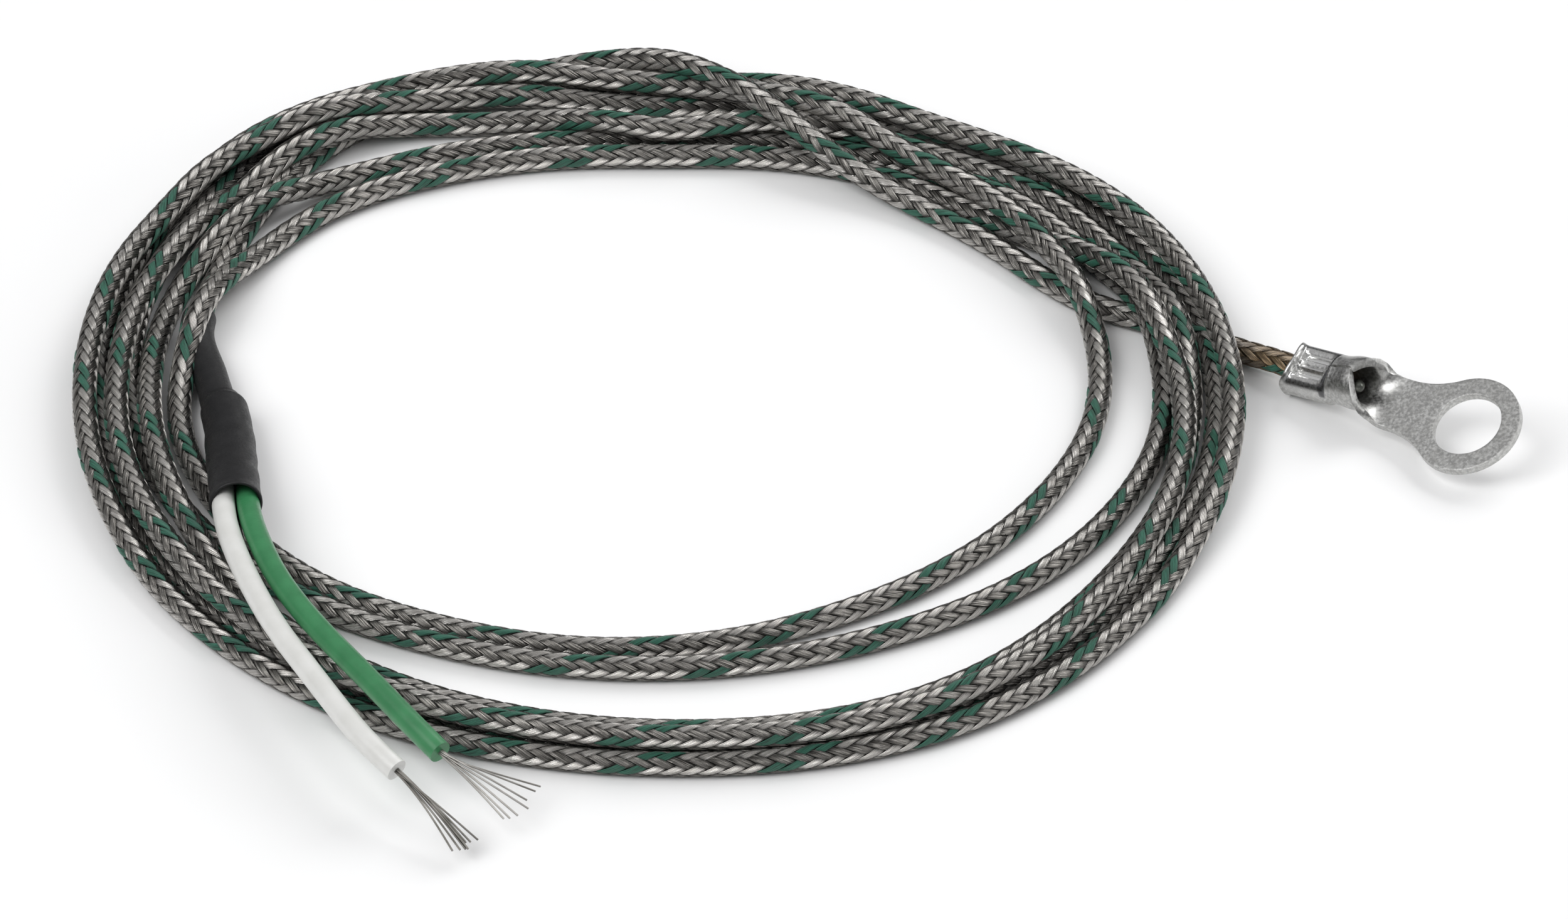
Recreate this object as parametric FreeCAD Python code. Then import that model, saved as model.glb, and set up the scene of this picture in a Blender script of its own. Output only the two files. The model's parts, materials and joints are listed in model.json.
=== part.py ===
import FreeCAD, Part

import math
import os

# Ring-terminal thermocouple probe: a crimped ring terminal for an M6 stud on a thin
# overbraided lead. The lead lies in a loose coil and ends in heat-shrink with two
# insulated tails. Millimetres, +Z up. The origin is on the surface that the probe lies
# on, under the middle of the terminal.

Vector = FreeCAD.Vector

# Ring terminal, stamped from one sheet
SHEET = 0.8
HOLE_RADIUS = 3.25
RING_RADIUS = 5.0
NECK_HALF_WIDTH = 2.65
NECK_FILLET = 8.0
TONGUE_END = -10.6          # where the flat tongue runs out under the barrel
COINED_RADIUS = 4.45        # faint coined line just inside the ring's rim
COINED_WIDTH = 0.12
COINED_DEPTH = 0.03

# Barrel, measured back from the bend at the tongue's end
BEND_AT = -9.5
BEND_ANGLE = 4.0
MOUTH_FRONT = 0.4           # lowest point of the open mouth
MOUTH_BACK = 1.9            # where the seam closes at the top
CRIMP_FRONT = 3.7
CRIMP_BACK = 8.3
BARREL_BACK = 9.3
BARREL_SECTIONS = [         # distance back, half width, half height
    (0.2, 2.50, 2.50),
    (3.5, 2.20, 2.20),
    (4.1, 2.35, 1.70),
    (8.0, 2.35, 1.65),
    (9.3, 2.50, 2.05),
]
POCKET_LENGTH = 3.8
POCKET_WIDTH = 1.15
POCKET_DEPTH = 0.35
POCKET_OFFSET = 0.85

# How the terminal lies: its axis points forward and right, its right side is lower
YAW = -37.3
PITCH = 8.0
ROLL = 24.7

# Braided lead
CABLE_RADIUS = 1.15
CABLE_INSET = 1.6           # length of the lead inside the barrel's rear

# Coil of six loose turns: middle, and the radii of its inner and outer edge every 30 degrees
COIL_CENTRE = (-66.9, 2.6)
COIL_HEIGHT = 5.4
COIL_INNER = [38.3, 38.8, 38.9, 37.6, 40.3, 42.3, 42.4, 40.0, 36.5, 34.7, 33.6, 35.2]
COIL_OUTER = [53.4, 53.5, 51.6, 51.4, 55.9, 55.5, 53.5, 53.0, 53.2, 53.4, 54.9, 53.4]
POCKET_CLEARANCE = 0.3      # room that the coil leaves round the pieces that enter it

# Route of the lead from the barrel to the coil, behind the point inside the barrel
LEAD_ROUTE = [
    (-11.0, 8.9, 1.75),
    (-13.4, 10.1, 1.30),
]

# Route of the lead from the coil through both heat-shrinks, then of the two tails
END_ROUTE = [
    (-109.3, 14.0, 1.65),
    (-108.8, 10.4, 1.65),
    (-107.6, 5.4, 1.80),
    (-106.6, 0.5, 2.30),
]
NARROW_START = 1            # the point of END_ROUTE where the narrow heat-shrink starts
NARROW_RADIUS = 1.60
WIDE_ROUTE = [
    (-106.4, 1.3, 2.30),
    (-105.7, -2.7, 2.70),
    (-105.3, -7.0, 3.50),
    (-104.9, -11.4, 4.65),
    (-104.5, -16.2, 6.10),
]
WIDE_RADIUS = 2.25
WIDE_WALL = 0.35

TAIL_RADIUS = 1.05
CORE_RADIUS = 0.33
WHITE_ROUTE = [
    (-105.9, -12.6, 5.20),
    (-105.6, -17.1, 6.70),
    (-104.8, -22.3, 7.60),
    (-103.0, -29.0, 7.90),
    (-100.2, -36.3, 7.90),
    (-96.8, -43.2, 7.80),
    (-93.0, -50.3, 7.00),
    (-89.1, -55.2, 5.60),
]
GREEN_ROUTE = [
    (-103.7, -12.6, 5.20),
    (-103.3, -17.1, 6.70),
    (-102.4, -21.8, 7.60),
    (-100.3, -29.0, 7.90),
    (-96.9, -36.0, 7.90),
    (-92.3, -43.2, 7.80),
    (-87.9, -49.6, 7.00),
    (-85.4, -52.7, 5.60),
]

# Bare strands that fan out of each tail
STRAND_COUNT = 7
STRAND_RADIUS = 0.13
STRAND_LENGTH = 9.4
POSITIVE_FAN = (2, 5, 9, 17, 22, 32, 38)        # degrees that each strand turns left of its tail
NEGATIVE_FAN = (-12, -9, -6, -4, -2, 1, 5)
STRAND_DROP = 0.30          # fall per length


def vector(point):
    return Vector(*point)


def turn_radii(points):
    """Radius of the arc at each inner point of a route."""
    radii = []
    for before, here, after in zip(points, points[1:], points[2:]):
        run_in = here - before
        run_out = after - here
        turn = run_in.getAngle(run_out)
        shorter = min(run_in.Length, run_out.Length)
        radii.append(0.45 * shorter / math.tan(turn / 2))
    return radii


def route_wire(points):
    """Straight runs joined by tangent arcs."""
    edges = []
    start = points[0]
    for index, radius in enumerate(turn_radii(points)):
        here = points[index + 1]
        back = (points[index] - here).normalize()
        ahead = (points[index + 2] - here).normalize()
        half_turn = (math.pi - back.getAngle(ahead)) / 2
        setback = radius * math.tan(half_turn)
        arc_start = here + back * setback
        arc_end = here + ahead * setback
        inward = (back + ahead).normalize()
        to_centre = radius / math.cos(half_turn)
        arc_middle = here + inward * (to_centre - radius)
        edges.append(Part.LineSegment(start, arc_start).toShape())
        edges.append(Part.Arc(arc_start, arc_middle, arc_end).toShape())
        start = arc_end
    edges.append(Part.LineSegment(start, points[-1]).toShape())
    return Part.Wire(edges)


def tube(points, radius):
    """Round solid along a route."""
    wire = route_wire(points)
    section = Part.Wire(Part.makeCircle(radius, points[0], points[1] - points[0]))
    return wire.makePipeShell([section], True, True)


def report_route(name, points, radius, solid):
    radii = ", ".join("%.0f" % value for value in turn_radii(points))
    expected = math.pi * radius ** 2 * route_wire(points).Length
    print("%s: radii %s mm, volume %.1f, section x length %.1f" % (name, radii, solid.Volume, expected))


def ring_and_tongue():
    """Flat ring with its concave neck and straight tongue, underside at z = 0."""
    centre_y = NECK_HALF_WIDTH + NECK_FILLET
    centre_x = -math.sqrt((RING_RADIUS + NECK_FILLET) ** 2 - centre_y ** 2)
    share = RING_RADIUS / (RING_RADIUS + NECK_FILLET)
    mid_angle = (math.atan2(-centre_y, -centre_x) - math.pi / 2) / 2
    edges = []
    for side in (1, -1):
        on_ring = Vector(centre_x * share, side * centre_y * share, 0)
        on_neck = Vector(centre_x, side * NECK_HALF_WIDTH, 0)
        middle = Vector(centre_x + NECK_FILLET * math.cos(mid_angle),
                        side * (centre_y + NECK_FILLET * math.sin(mid_angle)), 0)
        edges.append(Part.Arc(on_ring, middle, on_neck).toShape())
        edges.append(Part.LineSegment(on_neck, Vector(BEND_AT, side * NECK_HALF_WIDTH, 0)).toShape())
        edges.append(Part.LineSegment(Vector(BEND_AT, side * NECK_HALF_WIDTH, 0),
                                      Vector(TONGUE_END, side * 1.2, 0)).toShape())
    ring_edge = Vector(centre_x * share, centre_y * share, 0)
    edges.append(Part.Arc(ring_edge, Vector(RING_RADIUS, 0, 0),
                          Vector(ring_edge.x, -ring_edge.y, 0)).toShape())
    edges.append(Part.LineSegment(Vector(TONGUE_END, 1.2, 0), Vector(TONGUE_END, -1.2, 0)).toShape())
    outline = Part.Wire(Part.__sortEdges__(edges))
    plate = Part.Face(outline).extrude(Vector(0, 0, SHEET))
    hole = Part.makeCylinder(HOLE_RADIUS, 3 * SHEET, Vector(0, 0, -SHEET))
    groove_base = Vector(0, 0, SHEET - COINED_DEPTH)
    groove = Part.makeCylinder(COINED_RADIUS + COINED_WIDTH / 2, SHEET, groove_base)
    groove = groove.cut(Part.makeCylinder(COINED_RADIUS - COINED_WIDTH / 2, SHEET, groove_base))
    return plate.cut(hole).cut(groove)


def barrel_loft(wall):
    """Solid through the barrel's sections, drawn in by wall, underside at z = 0."""
    wires = []
    for back, half_width, half_height in BARREL_SECTIONS:
        ellipse = Part.Ellipse(Vector(0, 0, 0), half_width - wall, max(half_height - wall, 0.8))
        section = Part.Wire(ellipse.toShape())
        section.Placement = FreeCAD.Placement(
            Vector(-back, 0, half_height),
            FreeCAD.Rotation(Vector(0, 1, 0), Vector(0, 0, 1), Vector(1, 0, 0), "ZXY"))
        wires.append(section)
    return Part.makeLoft(wires, True, True)


def barrel():
    """Rolled barrel: open sloping mouth, crimp with two long pockets, belled rear."""
    shell = barrel_loft(0).cut(barrel_loft(SHEET))
    mouth = Part.makePolygon([
        Vector(1, 0, SHEET * 0.5), Vector(-MOUTH_FRONT, 0, SHEET * 0.9),
        Vector(-MOUTH_BACK, 0, 6), Vector(1, 0, 6), Vector(1, 0, SHEET * 0.5)])
    opening = Part.Face(mouth).extrude(Vector(0, 8, 0))
    opening.translate(Vector(0, -4, 0))
    shell = shell.cut(opening)
    top = 2 * BARREL_SECTIONS[2][2]
    for side in (1, -1):
        pocket = Part.makeBox(POCKET_LENGTH, POCKET_WIDTH, 2)
        pocket.translate(Vector(-CRIMP_BACK + 0.4, side * POCKET_OFFSET - POCKET_WIDTH / 2,
                                top - POCKET_DEPTH))
        shell = shell.cut(pocket)
    return shell


def tongue_placement():
    """Where the terminal lies before it is set down: hole centre over the origin."""
    return FreeCAD.Placement(Vector(0, 0, 0), FreeCAD.Rotation(YAW, -PITCH, ROLL))


def barrel_placement():
    bend = FreeCAD.Placement(Vector(BEND_AT, 0, 0), FreeCAD.Rotation(Vector(0, 1, 0), -BEND_ANGLE))
    return bend


def ring_terminal():
    """The terminal in its own frame, and the move that sets it down centred on the origin."""
    rolled = barrel()
    rolled.Placement = barrel_placement()
    shape = ring_and_tongue().fuse(rolled).removeSplitter()
    lying = shape.copy()
    lying.Placement = tongue_placement()
    box = lying.optimalBoundingBox()
    centre = box.Center
    down = Vector(-centre.x, -centre.y, -box.ZMin)
    return shape, FreeCAD.Placement(down, FreeCAD.Rotation()).multiply(tongue_placement())


def coil_outline(radii):
    """Closed smooth curve through a radius every 30 degrees round the coil's middle."""
    points = []
    for index, radius in enumerate(radii):
        angle = 2 * math.pi * index / len(radii)
        points.append(Vector(COIL_CENTRE[0] + radius * math.cos(angle),
                             COIL_CENTRE[1] + radius * math.sin(angle), 0))
    curve = Part.BSplineCurve()
    curve.interpolate(Points=points, PeriodicFlag=True)
    first, last = curve.FirstParameter, curve.LastParameter
    cuts = [first + (last - first) * quarter / 4 for quarter in range(5)]
    return Part.Wire([curve.toShape(low, high) for low, high in zip(cuts, cuts[1:])])


def coil_solid(entering):
    """Outer shape of the coiled lead, with room round the pieces that enter it."""
    height = Vector(0, 0, COIL_HEIGHT)
    outer = Part.Face(coil_outline(COIL_OUTER)).extrude(height)
    inner = Part.Face(coil_outline(COIL_INNER)).extrude(height)
    solid = outer.cut(inner)
    for points, radius in entering:
        solid = solid.cut(tube(points, radius + POCKET_CLEARANCE))
    return max(solid.Solids, key=lambda piece: piece.Volume)


def strands(name, route, fans):
    """Bare strands fanned out from the end of a tail."""
    end = route[-1]
    ahead = (route[-1] - route[-2]).normalize()
    flat = Vector(ahead.x, ahead.y, 0).normalize()
    across = Vector(-flat.y, flat.x, 0)
    pieces = {}
    for index in range(STRAND_COUNT):
        around = 2 * math.pi * index / (STRAND_COUNT - 1)
        ring = 0.0 if index == STRAND_COUNT - 1 else 2.15 * STRAND_RADIUS
        start = end + across * (ring * math.cos(around)) + Vector(0, 0, ring * math.sin(around))
        fan = math.radians(fans[index])
        reach = STRAND_LENGTH * (0.92 + 0.04 * (index % 3))
        drop = -STRAND_DROP * reach - 0.2 * math.cos(around)
        tip = start + flat * (reach * math.cos(fan)) + across * (reach * math.sin(fan))
        tip = tip + Vector(0, 0, drop)
        middle = start + ahead * (0.4 * reach)
        pieces["%s_%d" % (name, index + 1)] = tube([start, middle, tip], STRAND_RADIUS)
    return pieces


def build():
    parts = {}
    terminal, lie = ring_terminal()
    barrel_frame = lie.multiply(barrel_placement())
    shape = terminal.copy()
    shape.Placement = lie
    parts["ring_terminal"] = shape

    axis_height = BARREL_SECTIONS[-1][2]
    inner_height = BARREL_SECTIONS[3][2]
    barrel_end = barrel_frame.multVec(Vector(-BARREL_BACK + CABLE_INSET / 2, 0, axis_height))
    inside = barrel_frame.multVec(Vector(-BARREL_BACK + CABLE_INSET, 0, inner_height + 0.1))
    print("barrel end", barrel_end, "inside", inside)
    hole = lie.multVec(Vector(0, 0, SHEET / 2))
    normal = lie.Rotation.multVec(Vector(0, 0, 1))
    print("ring hole", hole, "axis", normal)
    print("ring underside", lie.multVec(Vector(-3.9, 0, 0)), "top", lie.multVec(Vector(-3.9, 0, SHEET)))

    # Inside the barrel: squeezed lead end, two bared cores, welded bead
    squeezed = Part.makeCylinder(0.80, BARREL_BACK - CABLE_INSET - CRIMP_FRONT - 0.2,
                                 Vector(-BARREL_BACK + CABLE_INSET, 0, inner_height + 0.02), Vector(1, 0, 0))
    core_start = -CRIMP_FRONT - 0.2
    core_length = 1.3
    bead = Part.makeSphere(0.62, Vector(core_start + core_length + 0.55, 0, inner_height + 0.25))
    inner = {"cable_end_in_barrel": squeezed}
    for name, side in (("positive_core_end", 1), ("negative_core_end", -1)):
        core = Part.makeCylinder(0.25, core_length + 0.5,
                                 Vector(core_start, side * 0.3, inner_height + 0.2), Vector(1, 0, 0))
        core = core.cut(bead)
        inner[name] = core
    inner["junction_bead"] = bead
    for name, piece in inner.items():
        piece = piece.copy()
        piece.Placement = barrel_frame.multiply(piece.Placement)
        parts[name] = piece

    lead_points = [inside] + [vector(point) for point in LEAD_ROUTE]
    end_points = [vector(point) for point in END_ROUTE]
    wide_points = [vector(point) for point in WIDE_ROUTE]
    white_points = [vector(point) for point in WHITE_ROUTE]
    green_points = [vector(point) for point in GREEN_ROUTE]
    narrow_points = end_points[NARROW_START:]

    lead = tube(lead_points, CABLE_RADIUS)
    lead_end = tube(end_points, CABLE_RADIUS)
    parts["braided_cable_lead"] = lead
    parts["braided_cable_coil"] = coil_solid([
        (list(reversed(lead_points)), CABLE_RADIUS), (end_points, CABLE_RADIUS),
        (narrow_points, NARROW_RADIUS), (wide_points, WIDE_RADIUS)])
    parts["braided_cable_end"] = lead_end
    parts["narrow_heat_shrink"] = tube(narrow_points, NARROW_RADIUS).cut(lead_end)
    report_route("lead", lead_points, CABLE_RADIUS, lead)
    report_route("end", end_points, CABLE_RADIUS, lead_end)

    wide = tube(wide_points, WIDE_RADIUS)
    bore = tube(wide_points, WIDE_RADIUS - WIDE_WALL)
    wide = wide.cut(bore).cut(tube(end_points, NARROW_RADIUS))
    parts["wide_heat_shrink"] = wide

    for name, points, core_name, strand_name, fans in (
            ("green_lead_sleeve", green_points, "positive_core_tail", "positive_strand", POSITIVE_FAN),
            ("white_lead_sleeve", white_points, "negative_core_tail", "negative_strand", NEGATIVE_FAN)):
        core = tube(points, CORE_RADIUS)
        sleeve = tube(points, TAIL_RADIUS)
        report_route(name, points, TAIL_RADIUS, sleeve)
        parts["wide_heat_shrink"] = parts["wide_heat_shrink"].cut(sleeve)
        parts[name] = sleeve.cut(core)
        parts[core_name] = core
        parts.update(strands(strand_name, points, fans))
    return parts


os.makedirs("parts", exist_ok=True)
for node, solid in build().items():
    count = len(solid.Solids)
    if not solid.isValid() or count != 1:
        print("CHECK", node, "valid", solid.isValid(), "solids", count)
    solid.exportStep("parts/%s.step" % node)
    box = solid.optimalBoundingBox()
    print("%-22s volume %8.1f  x %.1f %.1f  y %.1f %.1f  z %.2f %.2f" % (
        node, solid.Volume, box.XMin, box.XMax, box.YMin, box.YMax, box.ZMin, box.ZMax))
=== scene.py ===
import json
import math

import bmesh
import bpy
import numpy as np
from mathutils import Matrix, Vector


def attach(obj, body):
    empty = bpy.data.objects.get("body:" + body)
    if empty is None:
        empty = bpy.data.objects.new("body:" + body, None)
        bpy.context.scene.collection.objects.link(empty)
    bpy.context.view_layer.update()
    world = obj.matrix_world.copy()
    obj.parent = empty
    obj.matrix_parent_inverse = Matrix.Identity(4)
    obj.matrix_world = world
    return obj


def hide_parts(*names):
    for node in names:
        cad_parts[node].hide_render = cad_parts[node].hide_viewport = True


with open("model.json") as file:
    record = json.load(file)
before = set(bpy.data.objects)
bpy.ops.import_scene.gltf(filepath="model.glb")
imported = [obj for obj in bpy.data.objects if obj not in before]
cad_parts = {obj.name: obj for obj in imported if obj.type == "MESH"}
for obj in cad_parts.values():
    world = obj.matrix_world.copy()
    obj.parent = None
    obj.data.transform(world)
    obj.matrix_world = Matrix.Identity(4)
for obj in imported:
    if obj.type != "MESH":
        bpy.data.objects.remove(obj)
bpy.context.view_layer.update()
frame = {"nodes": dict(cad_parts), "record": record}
MM = 0.001
BODY = "root"

# Camera: level, looking along +Y and down at the floor point in the middle of the picture
AIM = (-0.0556, -0.0039, 0.0)
CAMERA_DISTANCE = 1.084
CAMERA_ELEVATION = 37.0
CAMERA_LENS = 276.0
SENSOR_WIDTH = 36.0         # mm, as is the lens
LAMPS = (                   # name, place and size (m), power (W)
    ("key", (-0.55, -0.38, 0.72), 0.60, 5.0),
    ("back", (0.42, 0.50, 0.58), 0.60, 3.8),
    ("right", (0.75, -0.10, 0.30), 0.35, 1.0),
)
SKY_STRENGTH = 0.6
FLOOR_REACH = 3.0           # m

# Braided lead (mm)
CABLE_RADIUS = 1.15
CORE_RADIUS = 0.98
INSIDE_BARREL = (-16.9, 0.0, 2.0)   # where the lead starts, in the terminal's own frame
LEAD_ROUTE = [
    (-10.9, 8.6, 1.85),
    (-12.6, 9.9, 1.45),
    (-14.3, 11.1, 1.20),
]
END_ROUTE = [
    (-108.9, 10.6, 1.65),
    (-107.9, 7.2, 1.70),
    (-107.1, 3.8, 1.95),
    (-106.6, 0.5, 2.25),
]
NARROW_START = [(-108.9, 16.3, 1.65), (-109.3, 13.6, 1.65)]
NARROW_RADIUS = 1.60
NARROW_MOUTH_RADIUS = 1.25
NARROW_WALL = 0.10

# Coil: middle, then one row per stretch of each turn: angle, radius, layer.
# Angles run counter-clockwise from +X. A stretch lies on every stretch of a lower layer that it meets.
COIL_CENTRE = (-66.9, 2.6)
FIRST_STRETCH = [
    (14, 48.6, 0), (19, 43.6, 0), (25, 41.0, 0), (35, 39.6, 0), (45, 39.1, 0.5), (55, 38.9, 2.0),
    (63, 38.9, 3.5), (70, 40.1, 5), (78, 43.3, 6), (84, 46.6, 6),
]
TURNS = [
    [(90, 49.6, 5), (97, 52.0, 4), (105, 53.7, 1), (120, 54.6, 0), (150, 51.6, 0), (180, 47.8, 0),
     (210, 44.2, 0), (240, 40.2, 0), (270, 38.6, 0), (300, 39.5, 0), (330, 43.0, 0), (360, 45.9, 0),
     (374, 46.2, 1), (390, 45.6, 0), (405, 45.5, 0), (420, 43.6, 0), (435, 42.4, 0)],
    [(90, 41.2, 0), (105, 42.5, 0), (120, 44.4, 0), (135, 46.6, 0), (150, 47.7, 0.5), (180, 46.2, 1),
     (210, 46.3, 1), (240, 46.9, 0), (270, 47.6, 0), (300, 49.0, 0), (330, 47.8, 0), (360, 48.2, 0),
     (374, 48.6, 1), (390, 48.0, 0), (405, 47.8, 0), (420, 45.9, 0), (435, 43.4, 1)],
    [(90, 40.0, 1), (105, 45.0, 1), (120, 49.7, 0), (150, 49.8, 1), (180, 49.2, 1), (210, 49.4, 1.2),
     (240, 50.2, 1), (270, 50.9, 1), (300, 52.2, 1), (330, 49.4, 1), (360, 47.3, 1), (374, 46.0, 2),
     (390, 44.0, 1.5), (400, 42.2, 0), (410, 41.3, 0), (420, 41.0, 0), (435, 40.0, 0)],
    [(90, 38.9, 0), (105, 40.0, 0), (120, 41.6, 0), (135, 43.4, 0.6), (150, 43.5, 2), (165, 43.4, 2),
     (180, 43.6, 1), (200, 42.2, 0), (220, 40.3, 0), (240, 37.8, 0), (260, 36.4, 0), (280, 35.3, 0),
     (300, 34.8, 0), (320, 35.7, 0), (340, 37.5, 0), (360, 39.8, 0.5), (375, 41.0, 1), (390, 41.7, 2),
     (405, 42.3, 2), (420, 43.0, 2), (435, 45.6, 2)],
    [(90, 47.6, 1), (105, 50.5, 1), (120, 53.4, 1), (135, 54.6, 1), (150, 54.0, 0), (180, 50.6, 0),
     (210, 49.3, 0), (240, 49.3, 0), (270, 49.8, 0), (300, 51.3, 0), (330, 50.1, 0), (360, 50.7, 0),
     (374, 50.8, 1), (390, 50.4, 0), (405, 50.3, 0), (420, 49.9, 0), (435, 48.1, 0)],
    [(90, 46.6, 0), (105, 49.0, 0.6), (120, 51.1, 1), (135, 53.0, 1), (150, 53.1, 1.2), (180, 52.1, 1),
     (200, 51.7, 0.5), (210, 51.7, 0), (240, 51.9, 0), (270, 52.1, 0), (300, 53.6, 0), (330, 52.4, 0.5),
     (360, 52.0, 1), (374, 51.7, 2), (390, 51.2, 1), (405, 49.5, 0.5), (420, 48.4, 0.5), (435, 48.7, 0.5)],
    [(90, 48.9, 0), (105, 51.0, 0), (120, 52.3, 0), (135, 49.6, 0), (150, 46.0, 0), (165, 43.9, 0)],
]
SLEEVED_FROM = 160          # angle on the last turn where the narrow heat-shrink starts
SAMPLE_STEP = 2.5           # degrees between the points where stretches are set on each other
POINT_STEP = 7.5            # degrees between the spline's points
HUMP_SLOPE = 0.28           # how fast the lead climbs over another stretch
SAME_TURN = 150             # degrees within which two samples belong to one stretch

# Braid: eight flat ribbons each way, over two and under two
CARRIERS = 8
BRAID_LEAD = 13.8
RIBBON_WIDTH = 0.66
RIBBON_THICKNESS = 0.085
BRAID_WAVE = 0.075
BRAID_RADIUS = 1.03
BRAID_SAMPLES = 34          # per turn of a ribbon
WIRES = 8
TRACERS = (2, 3)            # the two neighbouring ribbons that are green
WEAVE_SHARPNESS = 1.6       # how flat a ribbon runs between one dip and the next
CARRIER_SHIFT = 37.0        # mm of texture between one carrier's ribbon and the next, so no two look alike
TRACER_PROUD = 0.03         # the yarn is thicker than the wires
TINT_FROM = 4.0             # distances along the lead (mm) over which the heat tint fades
TINT_TO = 13.0

# Wide heat-shrink and tails (mm)
WIDE_ROUTE = [
    (-106.4, 1.4, 2.35),
    (-105.8, -1.7, 2.50),
    (-105.5, -4.3, 2.80),
    (-105.3, -6.8, 3.15),
    (-105.0, -10.4, 3.75),
    (-104.6, -14.5, 4.60),
    (-104.4, -17.2, 5.10),
]
WIDE_RADIUS = 2.20
SHOULDER_RADIUS = 1.72      # where the wide heat-shrink has shrunk onto the narrow one
WIDE_LIP = 0.10             # how far its mouth flares
WIDE_WALL = 0.30
TAIL_SWELL = 0.10           # how far the two tails side by side push it out
NARROW_MOUTH_DEPTH = 0.5    # how far in each sleeve's inner surface is modelled
WIDE_MOUTH_DEPTH = 3.2
SLEEVE_STEP = 0.12          # between one ring of a sleeve's points and the next
TAIL_RADIUS = 1.05
WHITE_ROUTE = [
    (-105.8, -12.6, 4.20),
    (-105.6, -17.1, 5.10),
    (-104.9, -22.3, 5.60),
    (-103.0, -29.0, 5.90),
    (-100.3, -36.3, 6.10),
    (-96.8, -43.2, 6.15),
    (-93.1, -50.3, 6.00),
    (-90.9, -53.4, 5.60),
    (-89.1, -55.2, 5.00),
]
GREEN_ROUTE = [
    (-103.6, -12.6, 4.20),
    (-103.4, -17.1, 5.10),
    (-102.6, -21.8, 5.60),
    (-100.4, -29.0, 5.90),
    (-96.9, -36.0, 6.10),
    (-92.3, -43.2, 6.20),
    (-87.9, -49.7, 5.70),
    (-85.4, -52.7, 5.00),
]

# Bare strands (mm); each turns left of its tail by its own number of degrees
STRAND_RADIUS = 0.09
STRAND_REACH = 9.0
STRAND_INSET = 2.5          # length inside the insulation
STRAND_RING = 2.1           # distance of the outer strands from the middle one, in strand radii
STRAND_ARCH = 0.35          # how far a strand arches up on its way to the tip
POSITIVE_FAN = (2, 5, 9, 17, 22, 32, 38)
NEGATIVE_FAN = (-9, -5, -3, -2, 0, 3, 8)
POSITIVE_TIP = 2.8          # height of the strands' tips
NEGATIVE_TIP = 1.7

# Ring terminal (mm), in its own frame: hole at the middle, +u ahead, +v left, underside at w = 0
SHEET = 0.8
HOLE_RADIUS = 3.25
RING_RADIUS = 5.0
NECK_HALF_WIDTH = 2.65
NECK_FILLET = 8.0
YAW = -37.3
PITCH = 8.0
ROLL = 24.7
BEND_AT = -9.5
BEND_ANGLE = 4.0
BEND_BLEND = 1.2            # the bend is spread over this distance each way
ROLL_START = -8.0           # where the tongue's sheet starts to curl up into the barrel
MOUTH_OPEN = 9.2            # distances behind the hole: the mouth's lowest and highest point
MOUTH_CLOSED = 11.3
CRIMP_FRONT = 13.3
POCKETS_FRONT = 14.2
POCKETS_BACK = 17.9
BELL_FRONT = 17.9
BARREL_BACK = 18.8


# ---------------------------------------------------------------- helpers
def smooth(value, low, high):
    """0 below low, 1 above high, smooth between."""
    t = np.clip((np.asarray(value, float) - low) / (high - low), 0.0, 1.0)
    return t * t * (3 - 2 * t)


def link(name, data):
    """Puts an object that shows the data in the scene."""
    piece = bpy.data.objects.new(name, data)
    bpy.context.scene.collection.objects.link(piece)
    return piece


def mesh_piece(name, verts_mm, faces, material, uvs=None):
    """Mesh object from millimetre points."""
    mesh = bpy.data.meshes.new(name)
    mesh.from_pydata((np.asarray(verts_mm) * MM).tolist(), [], faces)
    mesh.update()
    if uvs is not None:
        for layer_name, values in uvs.items():
            layer = mesh.uv_layers.new(name=layer_name)
            index = np.empty(len(mesh.loops), dtype=np.int32)
            mesh.loops.foreach_get("vertex_index", index)
            layer.data.foreach_set("uv", np.asarray(values, np.float32)[index].ravel())
    mesh.polygons.foreach_set("use_smooth", [True] * len(mesh.polygons))
    mesh.materials.append(material)
    piece = link(name, mesh)
    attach(piece, BODY)
    return piece


def nurbs_curve(name, points_mm, bevel_mm=0.0, resolution=8, bevel_resolution=6):
    """Curve object: one open NURBS spline with the route's points as its control points."""
    curve = bpy.data.curves.new(name, "CURVE")
    curve.dimensions = "3D"
    curve.resolution_u = resolution
    spline = curve.splines.new("NURBS")
    spline.points.add(len(points_mm) - 1)
    for point, place in zip(spline.points, points_mm):
        point.co = (place[0] * MM, place[1] * MM, place[2] * MM, 1.0)
    spline.order_u = 3
    spline.use_endpoint_u = True
    curve.bevel_depth = bevel_mm * MM
    curve.bevel_resolution = bevel_resolution
    curve.use_fill_caps = bevel_mm > 0
    return link(name, curve)


def spline_points(points_mm, resolution=8):
    """Points along a route's NURBS spline, in mm."""
    piece = nurbs_curve("route", points_mm, 0.0, resolution)
    mesh = bpy.data.meshes.new_from_object(piece)
    points = np.empty(len(mesh.vertices) * 3)
    mesh.vertices.foreach_get("co", points)
    bpy.data.objects.remove(piece)
    bpy.data.meshes.remove(mesh)
    return points.reshape(-1, 3) / MM


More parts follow.
